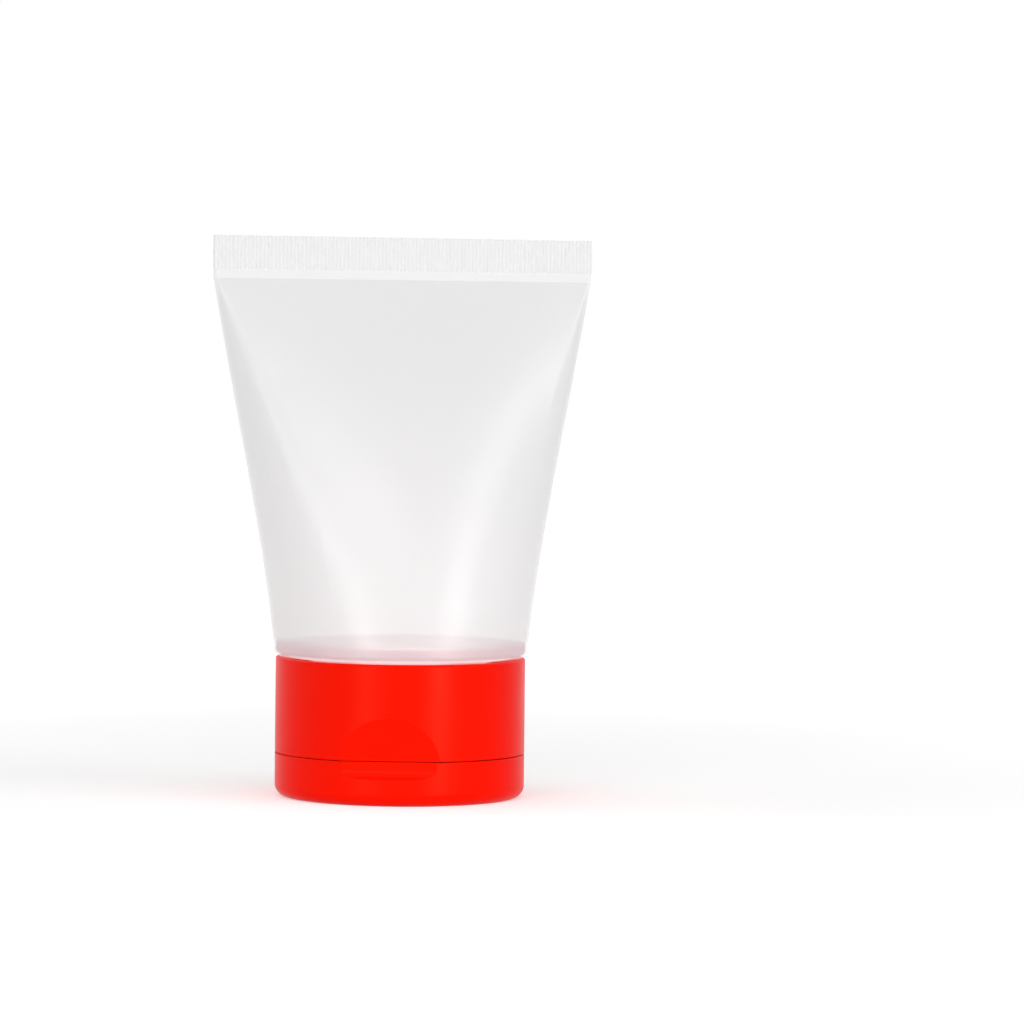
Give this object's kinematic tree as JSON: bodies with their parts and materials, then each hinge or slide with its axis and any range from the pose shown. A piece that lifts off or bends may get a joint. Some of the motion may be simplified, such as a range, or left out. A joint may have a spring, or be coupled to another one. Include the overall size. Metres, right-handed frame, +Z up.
{
  "type": "travel squeeze tube",
  "caption": "Frosted squeeze tube with a flat crimped end seal, standing on a red flip-top cap with a living hinge.",
  "frame": {"origin": "centre of the lid's flat outer face, on which the closed tube stands", "axes": "+Z up along the tube's axis to the end seal; -Y out of the cap's thumb recess; +Y towards the living hinge; +X to the right"},
  "size_m": [0.0717, 0.05, 0.1095],
  "materials": {
    "frosted_sleeve": "frosted translucent",
    "frosted_head": "frosted translucent",
    "red_cap": "satin",
    "red_hinge": "satin",
    "red_lid": "satin"
  },
  "bodies": {
    "tube": {"tube_sleeve": "frosted_sleeve", "tube_head": "frosted_head"},
    "cap": {"cap_base": "red_cap"},
    "strap": {"hinge_strap": "red_hinge"},
    "lid": {"flip_lid": "red_lid"}
  },
  "joints": [
    {"name": "cap_turn", "type": "hinge", "parent": "tube", "child": "cap", "pos_m": [0, 0, 0.0195], "axis": [0, 0, 1], "continuous": true},
    {"name": "strap_fold", "type": "hinge", "parent": "cap", "child": "strap", "pos_m": [0, 0.0236, 0.0113], "axis": [1, 0, 0], "range_deg": [0, 90]},
    {"name": "lid_fold", "type": "hinge", "parent": "strap", "child": "lid", "pos_m": [0, 0.0236, 0.0059], "axis": [1, 0, 0], "range_deg": [0, 90]}
  ],
  "couplings": [
    {"joint": "strap_fold", "follows": "lid_fold", "ratio": 1}
  ]
}
